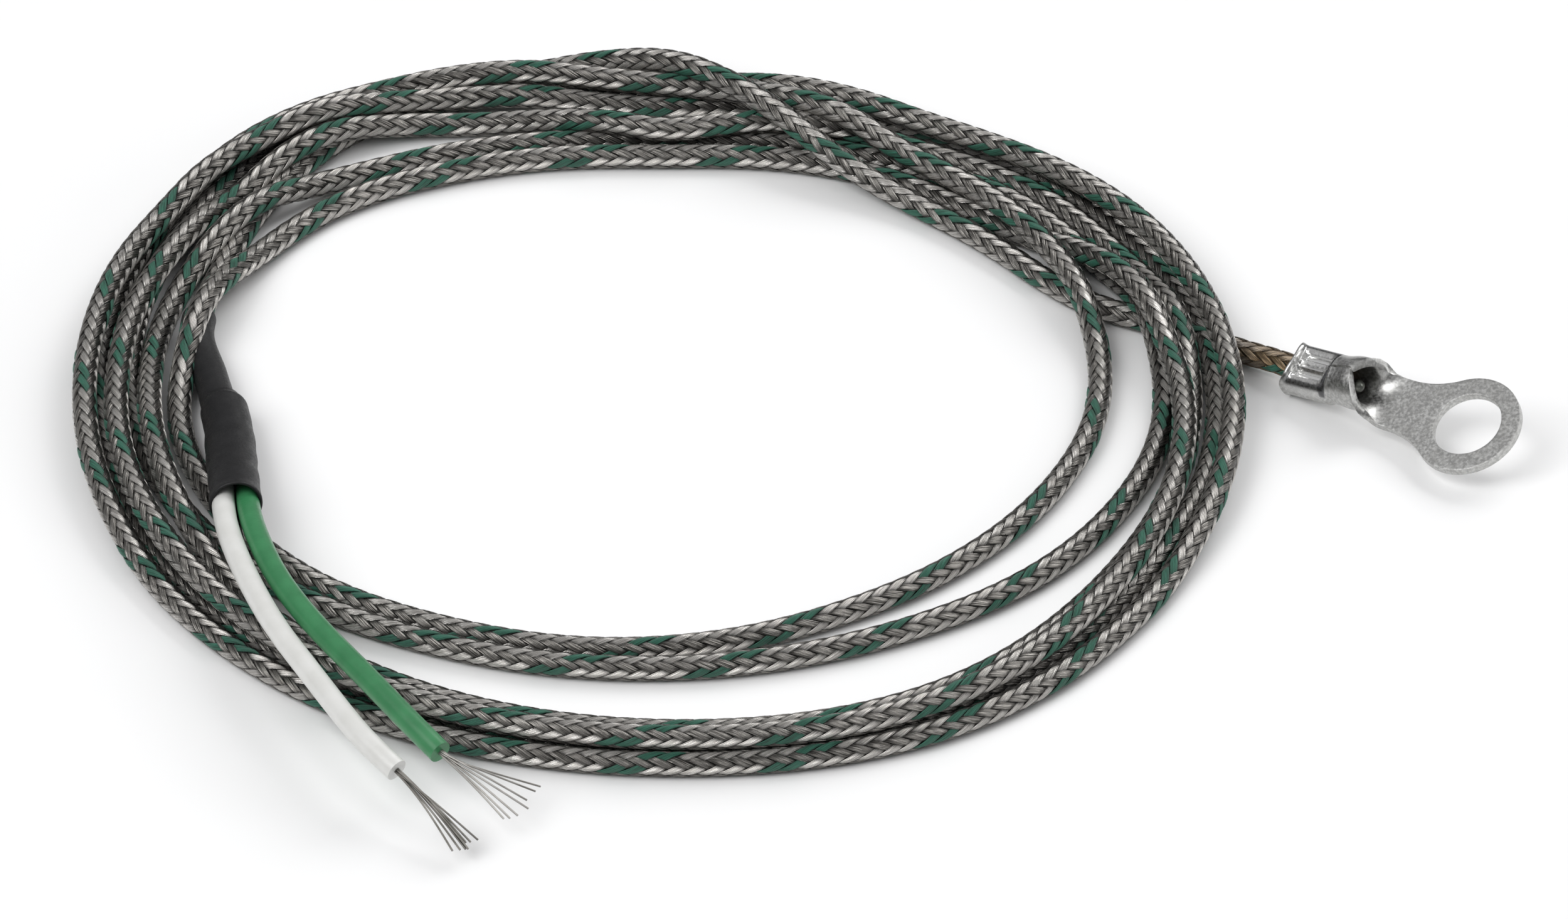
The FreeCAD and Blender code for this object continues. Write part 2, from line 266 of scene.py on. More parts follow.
class Path:
    """A line in space with a frame that doesn't twist."""

    def __init__(self, points):
        steps = np.linalg.norm(np.diff(points, axis=0), axis=1)
        keep = np.concatenate([[True], steps > 1e-6])
        self.points = points[keep]
        steps = np.linalg.norm(np.diff(self.points, axis=0), axis=1)
        self.along = np.concatenate([[0.0], np.cumsum(steps)])
        self.length = self.along[-1]
        tangents = np.gradient(self.points, self.along, axis=0)
        tangents /= np.linalg.norm(tangents, axis=1)[:, None]
        self.tangents = tangents
        side = np.cross(tangents[0], [0.0, 0.0, 1.0])
        side /= np.linalg.norm(side)
        sides = [side]
        for tangent in tangents[1:]:
            side = sides[-1] - tangent * np.dot(sides[-1], tangent)
            sides.append(side / np.linalg.norm(side))
        self.sides = np.array(sides)
        self.ups = np.cross(self.sides, tangents)

    def _pick(self, values, s):
        return np.stack([np.interp(s, self.along, values[:, k]) for k in range(3)], -1)

    def place(self, s, angle, radius):
        """Point at a distance along, an angle round and a radius out."""
        base = self._pick(self.points, s)
        side = self._pick(self.sides, s)
        up = self._pick(self.ups, s)
        angle = np.asarray(angle)[..., None]
        radius = np.asarray(radius)[..., None]
        return base + radius * (np.cos(angle) * side + np.sin(angle) * up)


def grid_faces(rows, columns, wrap=True, offset=0):
    """Quads of a grid of rows by columns, closed round its columns when wrap is set."""
    faces = []
    last = columns if wrap else columns - 1
    for row in range(rows - 1):
        for column in range(last):
            right = (column + 1) % columns
            a = offset + row * columns + column
            b = offset + row * columns + right
            faces.append((a, b, b + columns, a + columns))
    return faces


# ---------------------------------------------------------------- materials
def material(name, colour, metallic=0.0, roughness=0.5):
    """New material, its node tree and its shader node."""
    made = bpy.data.materials.new(name)
    made.use_nodes = True
    nodes = made.node_tree.nodes
    shader = nodes["Principled BSDF"]
    shader.inputs["Base Color"].default_value = (*colour, 1.0)
    shader.inputs["Metallic"].default_value = metallic
    shader.inputs["Roughness"].default_value = roughness
    return made, made.node_tree, shader


def add_node(tree, kind, **settings):
    """New node with its settings filled in."""
    node = tree.nodes.new(kind)
    for key, value in settings.items():
        setattr(node, key, value)
    return node


def math_node(tree, operation, first, second=None):
    """Output of a sum on one or two values, each a number or a socket."""
    node = add_node(tree, "ShaderNodeMath", operation=operation)
    for socket, value in zip(node.inputs, (first, second)):
        if value is None:
            continue
        if isinstance(value, (int, float)):
            socket.default_value = value
        else:
            tree.links.new(value, socket)
    return node.outputs[0]


def mix_colour(tree, factor, first, second):
    """Colour between the first (factor 0) and the second (factor 1), each a colour or a socket."""
    node = add_node(tree, "ShaderNodeMix", data_type="RGBA")
    for socket, value in ((node.inputs[0], factor), (node.inputs[6], first), (node.inputs[7], second)):
        if isinstance(value, (int, float)):
            socket.default_value = value
        elif isinstance(value, tuple):
            socket.default_value = (*value, 1.0)
        else:
            tree.links.new(value, socket)
    return node.outputs[2]


def map_range(tree, value, low, high, to_low=0.0, to_high=1.0):
    """Smooth step from to_low, where the value is low, to to_high, where it is high."""
    node = add_node(tree, "ShaderNodeMapRange", interpolation_type="SMOOTHSTEP")
    tree.links.new(value, node.inputs["Value"])
    node.inputs["From Min"].default_value = low
    node.inputs["From Max"].default_value = high
    node.inputs["To Min"].default_value = to_low
    node.inputs["To Max"].default_value = to_high
    return node.outputs[0]


def noise(tree, scale, detail=3.0, vector=None, roughness=0.5):
    """Noise over the object's own coordinates (m), or over another vector."""
    node = add_node(tree, "ShaderNodeTexNoise")
    node.inputs["Scale"].default_value = scale
    node.inputs["Detail"].default_value = detail
    node.inputs["Roughness"].default_value = roughness
    if vector is None:
        vector = add_node(tree, "ShaderNodeTexCoord").outputs["Object"]
    tree.links.new(vector, node.inputs["Vector"])
    return node.outputs["Fac"]


def bump(tree, shader, height, strength, distance):
    """Fine relief in the shading; the distance is in metres."""
    node = add_node(tree, "ShaderNodeBump")
    node.inputs["Strength"].default_value = strength
    node.inputs["Distance"].default_value = distance
    tree.links.new(height, node.inputs["Height"])
    tree.links.new(node.outputs[0], shader.inputs["Normal"])


def uv_axes(tree, name):
    """A UV layer as a vector, and its two axes."""
    node = add_node(tree, "ShaderNodeUVMap", uv_map=name)
    split = add_node(tree, "ShaderNodeSeparateXYZ")
    tree.links.new(node.outputs[0], split.inputs[0])
    return node.outputs[0], split.outputs[0], split.outputs[1]


def wire_ridges(tree, across):
    """Height of the round wires that lie side by side in a ribbon."""
    phase = math_node(tree, "MULTIPLY", across, WIRES * math.pi)
    return math_node(tree, "ABSOLUTE", math_node(tree, "SINE", phase))


def wire_tone(tree, uv, scale_along, seed):
    """A slowly changing tone, different from one wire to the next."""
    scale = add_node(tree, "ShaderNodeMapping")
    scale.inputs["Scale"].default_value = (WIRES * 1.7, scale_along, 1.0)
    scale.inputs["Location"].default_value = (seed, seed, seed)
    tree.links.new(uv, scale.inputs["Vector"])
    return noise(tree, 1.0, 2.0, scale.outputs[0])


def braid_material(name, seed, low, high, metallic):
    """Fine round wires side by side, brushed along the ribbon, with painted shade in the grooves between
    wires and where it dips under another.
    """
    made, tree, shader = material(name, high, metallic, 0.3)
    uv, across, _ = uv_axes(tree, "ribbon")
    ridges = wire_ridges(tree, across)
    tone = wire_tone(tree, uv, 0.35, seed)
    bright = map_range(tree, tone, 0.30, 0.70)
    steel = mix_colour(tree, bright, low, high)
    # Painted shade: the grooves between the wires are darkened.
    groove_shade = map_range(tree, ridges, 0.0, 0.55)
    steel = mix_colour(tree, groove_shade, (0.045, 0.042, 0.038), steel)
    # Painted shade: near black where the ribbon dips under the other way's ribbons.
    _, along, raised = uv_axes(tree, "cable")
    steel = mix_colour(tree, map_range(tree, raised, 0.25, 0.95), (0.014, 0.0135, 0.013), steel)
    tinted = map_range(tree, along, TINT_FROM, TINT_TO, 1.0, 0.0)
    steel = mix_colour(tree, math_node(tree, "MULTIPLY", tinted, 0.8), steel,
                       mix_colour(tree, bright, (0.08, 0.05, 0.028), (0.36, 0.25, 0.13)))
    tree.links.new(steel, shader.inputs["Base Color"])
    rough = map_range(tree, tone, 0.2, 0.8, 0.36, 0.22)
    tree.links.new(rough, shader.inputs["Roughness"])
    brushed = add_node(tree, "ShaderNodeTangent", direction_type="UV_MAP", uv_map="ribbon")
    tree.links.new(brushed.outputs[0], shader.inputs["Tangent"])
    shader.inputs["Anisotropic"].default_value = 0.8
    bump(tree, shader, ridges, 0.9, 0.00004)
    return made


def tracer_material():
    """Matt green yarn, with painted shade between its threads and where it dips under a steel ribbon."""
    made, tree, shader = material("green_tracer", (0.02, 0.12, 0.08), 0.0, 0.55)
    uv, across, _ = uv_axes(tree, "ribbon")
    ridges = wire_ridges(tree, across)
    tone = wire_tone(tree, uv, 0.6, 5.0)
    yarn = mix_colour(tree, map_range(tree, tone, 0.3, 0.7), (0.004, 0.045, 0.026), (0.035, 0.19, 0.125))
    # Painted shade in the grooves between the threads.
    yarn = mix_colour(tree, map_range(tree, ridges, 0.0, 0.6), (0.001, 0.018, 0.010), yarn)
    _, _, raised = uv_axes(tree, "cable")
    # Painted shade: near black where the yarn dips under a steel ribbon.
    yarn = mix_colour(tree, map_range(tree, raised, 0.0, 0.7), (0.0005, 0.008, 0.005), yarn)
    tree.links.new(yarn, shader.inputs["Base Color"])
    shader.inputs["Sheen Weight"].default_value = 0.25
    shader.inputs["Sheen Roughness"].default_value = 0.4
    shader.inputs["Sheen Tint"].default_value = (0.5, 0.85, 0.7, 1.0)
    bump(tree, shader, ridges, 0.9, 0.00004)
    return made


def core_material():
    """Dark lead that shows only through the gaps of the braid."""
    made, tree, shader = material("glassfibre_core", (0.03, 0.03, 0.028), 0.0, 0.7)
    tone = noise(tree, 4000.0)
    tree.links.new(mix_colour(tree, tone, (0.012, 0.012, 0.011), (0.05, 0.048, 0.045)),
                   shader.inputs["Base Color"])
    return made


def plated_material():
    """Dull tin plate with a fine grain, smooth where the crimp tool bore on it, with a painted highlight in
    its pockets and painted shade on its flat edges.
    """
    made, tree, shader = material("plated_terminal", (0.62, 0.62, 0.61), 1.0, 0.35)
    grain = noise(tree, 3600.0, 5.0, None, 0.6)
    cloud = noise(tree, 600.0, 3.0)
    _, pressed, dark = uv_axes(tree, "pressed")
    dull = mix_colour(tree, map_range(tree, grain, 0.35, 0.68), (0.40, 0.40, 0.39), (0.66, 0.66, 0.645))
    dull = mix_colour(tree, map_range(tree, cloud, 0.35, 0.7, 0.0, 0.35), dull, (0.40, 0.395, 0.38))
    # Partly real burnish, partly painted highlight: lighter where the crimp tool bore on the top, most in
    # its pockets.
    colour = mix_colour(tree, pressed, dull, (0.86, 0.86, 0.85))
    # Painted shade: the crimp tool's flat edges are darkened to near black.
    colour = mix_colour(tree, dark, colour, (0.06, 0.06, 0.065))
    tree.links.new(colour, shader.inputs["Base Color"])
    rough = math_node(tree, "ADD", map_range(tree, grain, 0.3, 0.7, 0.30, 0.46),
                      math_node(tree, "MULTIPLY", pressed, -0.20))
    tree.links.new(rough, shader.inputs["Roughness"])
    bump(tree, shader, grain, 0.25, 0.00002)
    return made


def heat_shrink_material():
    """Black, slightly uneven, half-matt plastic."""
    made, tree, shader = material("heat_shrink", (0.012, 0.012, 0.013), 0.0, 0.5)
    tone = noise(tree, 900.0, 4.0)
    fine = noise(tree, 5000.0, 3.0)
    tree.links.new(mix_colour(tree, tone, (0.006, 0.006, 0.0065), (0.017, 0.017, 0.018)),
                   shader.inputs["Base Color"])
    shader.inputs["Specular IOR Level"].default_value = 0.3
    tree.links.new(map_range(tree, fine, 0.3, 0.7, 0.40, 0.56), shader.inputs["Roughness"])
    bump(tree, shader, math_node(tree, "ADD", tone, math_node(tree, "MULTIPLY", fine, 0.3)), 0.4, 0.0001)
    return made


def insulation_material(name, low, high):
    """Smooth extruded plastic that lets a little light in."""
    made, tree, shader = material(name, high, 0.0, 0.34)
    tone = noise(tree, 450.0, 4.0)
    fine = noise(tree, 3500.0, 3.0)
    tree.links.new(mix_colour(tree, map_range(tree, tone, 0.3, 0.7), low, high), shader.inputs["Base Color"])
    tree.links.new(map_range(tree, fine, 0.3, 0.7, 0.28, 0.42), shader.inputs["Roughness"])
    shader.inputs["Subsurface Weight"].default_value = 0.08
    shader.inputs["Subsurface Radius"].default_value = (0.0006, 0.0006, 0.0006)
    bump(tree, shader, fine, 0.15, 0.00004)
    return made


def wire_material(name, low, high):
    """Bare metal with a slowly changing tone."""
    made, tree, shader = material(name, high, 1.0, 0.25)
    tone = noise(tree, 500.0, 2.0)
    tree.links.new(mix_colour(tree, map_range(tree, tone, 0.3, 0.7), low, high), shader.inputs["Base Color"])
    tree.links.new(map_range(tree, tone, 0.3, 0.7, 0.32, 0.45), shader.inputs["Roughness"])
    return made


# ---------------------------------------------------------------- the lead's route
def coil_knots():
    """Angle, radius and layer of every stretch, with the angle counting on from turn to turn."""
    knots = list(FIRST_STRETCH)
    for number, turn in enumerate(TURNS):
        knots += [(angle + 360 * number, radius, layer) for angle, radius, layer in turn]
    return np.array(knots, float)


def smooth_through(x, y, at):
    """Cubic through the knots, with slopes from their neighbours."""
    slope = np.gradient(y, x)
    index = np.clip(np.searchsorted(x, at, side="right") - 1, 0, len(x) - 2)
    step = x[index + 1] - x[index]
    t = (at - x[index]) / step
    return ((2 * t ** 3 - 3 * t ** 2 + 1) * y[index] + (t ** 3 - 2 * t ** 2 + t) * step * slope[index]
            + (3 * t ** 2 - 2 * t ** 3) * y[index + 1] + (t ** 3 - t ** 2) * step * slope[index + 1])


def settle(angles, radii, layers):
    """Height of every sample: on the floor, or on the stretches of lower layers that it crosses."""
    x = radii * np.cos(np.radians(angles))
    y = radii * np.sin(np.radians(angles))
    sleeved = angles > SLEEVED_FROM + 360 * (len(TURNS) - 1)
    girth = np.where(sleeved, NARROW_RADIUS, CABLE_RADIUS)
    diameter = girth[:, None] + girth[None, :]
    z = girth.copy()
    apart = np.hypot(x[:, None] - x[None, :], y[:, None] - y[None, :])
    other = np.abs(angles[:, None] - angles[None, :]) > SAME_TURN
    below = other & (apart < diameter * 0.995) & (layers[:, None] > layers[None, :] + 0.05)
    rise = np.sqrt(np.maximum(diameter ** 2 - apart ** 2, 0.0))
    order = np.argsort(layers, kind="stable")
    step = np.hypot(np.diff(x), np.diff(y)) * HUMP_SLOPE
    resting = z.copy()
    for _ in range(2):
        for index in order:
            under = below[index]
            if under.any():
                resting[index] = max(resting[index], (resting[under] + rise[index][under]).max())
        z = resting.copy()
        for index in range(1, len(z)):
            z[index] = max(z[index], z[index - 1] - step[index - 1])
        for index in range(len(z) - 2, -1, -1):
            z[index] = max(z[index], z[index + 1] - step[index])
        resting = np.where(below.any(axis=0), resting, z)
    return z


def coil_points():
    """The coil's turns as points of the lead's spline."""
    knots = coil_knots()
    count = int(round((knots[-1, 0] - knots[0, 0]) / SAMPLE_STEP))
    angles = np.linspace(knots[0, 0], knots[-1, 0], count + 1)
    radii = smooth_through(knots[:, 0], knots[:, 1], angles)
    layers = np.interp(angles, knots[:, 0], knots[:, 2])
    heights = settle(angles, radii, layers)
    every = int(round(POINT_STEP / SAMPLE_STEP))
    points = []
    for angle, radius, height in zip(angles[::every], radii[::every], heights[::every]):
        points.append((COIL_CENTRE[0] + radius * math.cos(math.radians(angle)),
                       COIL_CENTRE[1] + radius * math.sin(math.radians(angle)), height))
    return points


# ---------------------------------------------------------------- terminal frame
def terminal_matrix():
    """Moves the terminal's own frame (mm, underside of the ring at w = 0) to the row frame (mm)."""
    mount = next(m for m in frame["record"]["mounts"] if m["name"] == "ring_hole")
    turn = (Matrix.Rotation(math.radians(YAW), 3, "Z") @ Matrix.Rotation(math.radians(-PITCH), 3, "Y")
            @ Matrix.Rotation(math.radians(ROLL), 3, "X"))
    centre = Vector(mount["pos_m"]) / MM - turn @ Vector((0, 0, SHEET / 2))
    return np.array(turn), np.array(centre)


TURN, HOLE = terminal_matrix()


def bent(points):
    """Tilts what lies behind the bend at the tongue's end."""
    points = np.array(points, float)
    angle = math.radians(BEND_ANGLE) * smooth(-points[:, 0], -BEND_AT - BEND_BLEND, -BEND_AT + BEND_BLEND)
    u = points[:, 0] - BEND_AT
    w = points[:, 2].copy()
    behind = u < BEND_BLEND
    points[:, 0] = np.where(behind, BEND_AT + u * np.cos(angle) - w * np.sin(angle), points[:, 0])
    points[:, 2] = np.where(behind, w * np.cos(angle) + u * np.sin(angle), w)
    return points


def to_row(points):
    """Terminal's own frame to row frame, in mm."""
    return np.asarray(points, float) @ TURN.T + HOLE


# ---------------------------------------------------------------- ring terminal
COLUMNS = 97                # points across the sheet
RINGS = 9                   # rings of faces between the hole and the outline
CLOSED_HALF_LENGTH = 6.75   # half the sheet's width where it closes into the barrel
OPEN_ROLL_RADIUS = 2.08
CLOSED_ROLL_RADIUS = 1.86
EDGE_LIFT = 0.10            # rounding of the sheet's long edges
WELD_DISTANCE = 0.00002     # metres
EDGE_BEVEL = 0.09
BEVEL_FROM = 50             # degrees: edges sharper than this are bevelled
CURL_END = 10.4             # distance behind the hole where the sheet has its full curl
CLOSED_SHARE = 0.985        # of the half circle that each side of the closed barrel covers
CRIMP_HALF_WIDTH = 2.02
CRIMP_HALF_HEIGHT = 1.42
POCKET_DEPTH = 0.68
SEAM_SHARE = 0.9995         # how far round each edge of the closed sheet reaches; the rest is the seam
BELL_HALF_WIDTH = 2.16
BELL_HALF_HEIGHT = 1.70


def sheet_half_length(u):
    """Half the sheet's width, unrolled, at a distance behind the hole."""
    return NECK_HALF_WIDTH + (CLOSED_HALF_LENGTH - NECK_HALF_WIDTH) * smooth(-u, MOUTH_OPEN, MOUTH_CLOSED)


def roll_radius(u):
    """Radius of the rolled sheet's middle surface."""
    return OPEN_ROLL_RADIUS - (OPEN_ROLL_RADIUS - CLOSED_ROLL_RADIUS) * smooth(-u, 11.0, 13.2)


def squared_oval(p, half_width, half_height, side_power, height_power):
    """Closed section that rests on w = 0: powers below 1 make it squarer than an ellipse."""
    angle = p * math.pi * SEAM_SHARE
    sine, cosine = np.sin(angle), np.cos(angle)
    v = half_width * np.sign(sine) * np.abs(sine) ** side_power
    w = half_height - half_height * np.sign(cosine) * np.abs(cosine) ** height_power
    return v, SHEET / 2 + w


def section(u, p):
    """Middle surface of the sheet across the terminal: p runs from one edge (-1) to the other."""
    half = SHEET / 2
    length = sheet_half_length(u)
    radius = roll_radius(u)
    curl = smooth(-u, -ROLL_START, CURL_END)
    curvature = max(curl / radius, 1e-5)
    s = p * min(length, math.pi * radius * CLOSED_SHARE if curl > 0.999 else length)
    reach = np.clip(s * curvature, -math.pi * 0.99, math.pi * 0.99)
    v = np.sin(reach) / curvature
    w = half + (1 - np.cos(reach)) / curvature
    crimp = smooth(-u, CRIMP_FRONT, CRIMP_FRONT + 0.6) * (1 - smooth(-u, 18.0, 18.7))
    bell = smooth(-u, BELL_FRONT, BARREL_BACK)
    if crimp > 0 or bell > 0:
        top = np.cos(p * math.pi * SEAM_SHARE) < 0
        crimp_v, crimp_w = squared_oval(p, CRIMP_HALF_WIDTH, CRIMP_HALF_HEIGHT,
                                        np.where(top, 0.52, 0.92), np.where(top, 0.55, 0.95))
        inside = smooth(-u, POCKETS_FRONT, POCKETS_FRONT + 0.5)
        inside = inside * (1 - smooth(-u, POCKETS_BACK - 0.5, POCKETS_BACK))
        pocket = smooth(np.abs(crimp_v), 0.22, 0.42) * (1 - smooth(np.abs(crimp_v), 1.30, 1.52))
        crimp_w = crimp_w - np.where(top, POCKET_DEPTH * pocket * inside, 0.0)
        bell_v, bell_w = squared_oval(p, BELL_HALF_WIDTH, BELL_HALF_HEIGHT, 0.8, 0.8)
        v = v * (1 - crimp) + crimp_v * crimp
        w = w * (1 - crimp) + crimp_w * crimp
        v = v * (1 - bell) + bell_v * bell
        w = w * (1 - bell) + bell_w * bell
    return v, w


def rolled_stations():
    """Where the curled sheet's sections lie, closest together where its shape changes fastest."""
    mouth = [ROLL_START, -8.3, -8.6, -8.9, -9.2, -9.5, -9.75, -10.0, -10.2, -10.4, -10.6, -10.8, -11.0,
             -11.15, -11.3, -11.6, -12.0, -12.5, -13.0, -13.2]
    crimp = [-CRIMP_FRONT - 0.1 * step for step in range(8)]
    pockets = [-POCKETS_FRONT - 0.1 * step for step in range(6)]
    run = [-15.0, -15.5, -16.0, -16.5, -17.0, -17.3]
    rear = [-17.4 - 0.1 * step for step in range(14)]
    return mouth + crimp + pockets + run + rear


def outline_points():
    """Ring, neck and tongue outline from +v round the front to -v, then across the tongue's end."""
    centre_v = NECK_HALF_WIDTH + NECK_FILLET
    centre_u = -math.sqrt((RING_RADIUS + NECK_FILLET) ** 2 - centre_v ** 2)
    meet = math.atan2(centre_v, centre_u)
    half = []
    start = math.atan2(-centre_v, -centre_u)
    for step in range(9):
        angle = -math.pi / 2 + (start + math.pi / 2) * step / 8
        half.append((centre_u + NECK_FILLET * math.cos(angle), centre_v + NECK_FILLET * math.sin(angle)))
    ring = []
    for step in range(1, 61):
        angle = meet - (2 * meet) * step / 61
        ring.append((RING_RADIUS * math.cos(angle), RING_RADIUS * math.sin(angle)))
    lower = [(u, -v) for u, v in reversed(half)]
    sides = half + ring + lower
    p = np.linspace(-1, 1, COLUMNS)
    end = [(ROLL_START, value * NECK_HALF_WIDTH) for value in p]
    return sides, end


def ring_and_tongue_mesh():
    """Flat part: top and underside between the hole and the outline, joined along both."""
    sides, end = outline_points()
    outline = sides + end
    count = len(outline)
    verts = []
    faces = []
    for height, flip in ((SHEET, False), (0.0, True)):
        base = len(verts)
        for ring in range(RINGS + 1):
            share = ring / RINGS
            for u, v in outline:
                angle = math.atan2(v, u)
                hole_u = HOLE_RADIUS * math.cos(angle)
                hole_v = HOLE_RADIUS * math.sin(angle)
                verts.append((hole_u + (u - hole_u) * share, hole_v + (v - hole_v) * share, height))
        for face in grid_faces(RINGS + 1, count, True, base):
            faces.append(tuple(reversed(face)) if flip else face)
    size = (RINGS + 1) * count
    top_outer = RINGS * count
    for column in range(count):
        right = (column + 1) % count
        faces.append((column, column + size, right + size, right))
        if column < len(sides) or right < len(sides):
            faces.append((top_outer + right, top_outer + right + size, top_outer + column + size,
                          top_outer + column))
    return verts, faces


def rolled_loop(u, p):
    """One closed loop round the curled sheet: underside, edge, inner side, edge."""
    v, w = section(u, p)
    dv = np.gradient(v, p)
    dw = np.gradient(w, p)
    length = np.hypot(dv, dw)
    normal_v, normal_w = -dw / length, dv / length
    concave = 0.75 * smooth(-u, 17.0, 18.7) * smooth(w, 2.6, 3.4) * (1 - (np.abs(v) / 2.4) ** 2)
    place = np.full(COLUMNS, u) + concave
    half = SHEET / 2 * (1 - 0.12 * smooth(-u, CRIMP_FRONT, 14.0))
    under = np.stack([place, v - normal_v * half, w - normal_w * half], -1)
    inner = np.stack([place, v + normal_v * half, w + normal_w * half], -1)
    curled = EDGE_LIFT * smooth(-u, 8.0, 8.6)
    last_edge = (under[-1] + inner[-1]) / 2 + np.array([0, dv[-1], dw[-1]]) / length[-1] * curled
    first_edge = (under[0] + inner[0]) / 2 - np.array([0, dv[0], dw[0]]) / length[0] * curled
    return np.concatenate([under, [last_edge], inner[::-1], [first_edge]])


def terminal_mesh():
    """The whole terminal as one mesh, welded where the tongue becomes the barrel."""
    verts, faces = ring_and_tongue_mesh()
    p = np.linspace(-1, 1, COLUMNS)
    rows = np.array([rolled_loop(u, p) for u in rolled_stations()])
    loop = 2 * COLUMNS + 2
    base = len(verts)
    verts += [tuple(point) for point in rows.reshape(-1, 3)]
    faces += grid_faces(len(rows), loop, True, base)
    last = base + (len(rows) - 1) * loop
    for column in range(COLUMNS - 1):
        faces.append((last + column, last + column + 1, last + loop - 2 - column - 1,
                      last + loop - 2 - column))
    faces.append((last, last + loop - 2, last + loop - 1))
    faces.append((last + COLUMNS - 1, last + COLUMNS, last + COLUMNS + 1))
    verts = np.array(verts)
    pressed, dark = press_burnish_and_painted_light(verts)
    piece = mesh_piece("ring_terminal_sheet", to_row(bent(verts)), faces, plated_material(),
                       {"pressed": np.stack([pressed, dark], -1)})
    made = bmesh.new()
    made.from_mesh(piece.data)
    bmesh.ops.remove_doubles(made, verts=made.verts, dist=WELD_DISTANCE)
    bmesh.ops.recalc_face_normals(made, faces=made.faces)
    made.to_mesh(piece.data)
    made.free()
    edges = piece.modifiers.new("edges", "BEVEL")
    edges.width = EDGE_BEVEL * MM
    edges.segments = 2
    edges.limit_method = "ANGLE"
    edges.angle_limit = math.radians(BEVEL_FROM)
    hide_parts("ring_terminal")


def press_burnish_and_painted_light(verts):
    """How much burnish and painted highlight (in the pockets) and how much painted shade (on the tool's flat
    edges) each point gets.
    """
    u, v, w = verts[:, 0], verts[:, 1], verts[:, 2]
    on_top = smooth(w, 1.9, 2.3)
    crimped = smooth(-u, 13.4, 13.7) * (1 - smooth(-u, 18.1, 18.4)) * on_top
    pocket = smooth(-u, POCKETS_FRONT, 14.6) * (1 - smooth(-u, 17.5, 17.8))
    pocket = pocket * smooth(np.abs(v), 0.2, 0.35) * (1 - smooth(np.abs(v), 1.4, 1.6))
    # Partly real burnish, partly painted highlight, strongest in the pockets.
    pressed = crimped * (0.35 + 0.65 * pocket)
    # Painted shade on the tool's flat edges.
    front_edge = smooth(-u, 13.5, 13.7) * (1 - smooth(-u, 14.15, 14.35)) * smooth(w, 2.2, 2.6)
    side_edge = crimped * smooth(np.abs(v), 1.62, 1.75) * (1 - smooth(np.abs(v), 2.1, 2.3))
    dark = np.clip(front_edge + side_edge * 0.8, 0, 1) * 0.85
    return pressed, dark


# ---------------------------------------------------------------- braid
# A ribbon's section, upper side and then underside: place across, height, and place across its texture
RIBBON_ACROSS = np.array([-0.5, -0.30, 0.0, 0.30, 0.5, 0.3, -0.3])
RIBBON_LIFT = np.array([0.25, 0.85, 1.0, 0.85, 0.25, -0.3, -0.3])
RIBBON_TEXTURE = np.array([0.02, 0.22, 0.5, 0.78, 0.98, 0.6, 0.4])


def weave(carrier, way, angle, along):
    """1 where a ribbon lies over the other way's ribbons, -1 where it lies under them."""
    other = CARRIERS * (angle + way * 2 * math.pi * along / BRAID_LEAD) / (2 * math.pi)
    phase = 0.5 if way > 0 else 2.5
    wave = np.cos(math.pi / 2 * (carrier + other - phase))
    return np.tanh(WEAVE_SHARPNESS * wave) / math.tanh(WEAVE_SHARPNESS)


def ribbon(path, name, carrier, way, made):
    """One flat ribbon of wires, woven over two and under two of the other way's ribbons."""
    count = int(path.length / BRAID_LEAD * BRAID_SAMPLES)
    s = np.linspace(0.0, path.length, count)
    tilt = math.atan2(2 * math.pi * BRAID_RADIUS, BRAID_LEAD)
    proud = TRACER_PROUD if way > 0 and carrier in TRACERS else 0.0
    q = RIBBON_ACROSS * RIBBON_WIDTH
    along = np.clip(s[:, None] - q[None, :] * math.sin(tilt), 0.0, path.length)
    angle = way * (2 * math.pi * s[:, None] / BRAID_LEAD + q[None, :] * math.cos(tilt) / BRAID_RADIUS)
    angle = angle + 2 * math.pi * carrier / CARRIERS
    wave = weave(carrier, way, angle, along)
    radius = BRAID_RADIUS + BRAID_WAVE * wave + proud + RIBBON_THICKNESS * (RIBBON_LIFT[None, :] - 0.5)
    points = path.place(along, angle, radius)
    columns = len(RIBBON_ACROSS)
    faces = grid_faces(count, columns)
    faces.append(tuple(range(columns - 1, -1, -1)))
    faces.append(tuple((count - 1) * columns + k for k in range(columns)))
    across_uv = np.broadcast_to(RIBBON_TEXTURE, along.shape)
    along_uv = np.broadcast_to(s[:, None] + CARRIER_SHIFT * carrier, along.shape)
    return mesh_piece(name, points.reshape(-1, 3), faces, made,
                      {"ribbon": np.stack([across_uv, along_uv], -1).reshape(-1, 2),
                       "cable": np.stack([along, 0.5 + 0.5 * wave], -1).reshape(-1, 2)})


def sleeve(path, name, outer, wall, mouth, material_made, sides=40):
    """Heat-shrink: outer surface, rounded mouth at the far end, and the inner surface behind it."""
    s = np.linspace(0, path.length, int(path.length / SLEEVE_STEP))
    angles = np.linspace(0, 2 * math.pi, sides, endpoint=False)
    back = max(2, int(mouth / SLEEVE_STEP))
    rows_s = np.concatenate([s, [path.length] * 2, s[::-1][:back]])
    inward = np.array([0.0] * len(s) + [0.3, 0.7] + [1.0] * back)
    s_grid, a_grid = np.meshgrid(rows_s, angles, indexing="ij")
    points = path.place(s_grid, a_grid, outer(s_grid, a_grid) - wall * inward[:, None])
    bulge = np.sin(np.pi * inward) * wall * 0.5
    points = points + bulge[:, None, None] * path.tangents[-1]
    faces = grid_faces(len(rows_s), sides)
    faces.append(tuple(range(sides - 1, -1, -1)))
    faces.append(tuple((len(rows_s) - 1) * sides + k for k in range(sides)))
    return mesh_piece(name, points.reshape(-1, 3), faces, material_made)


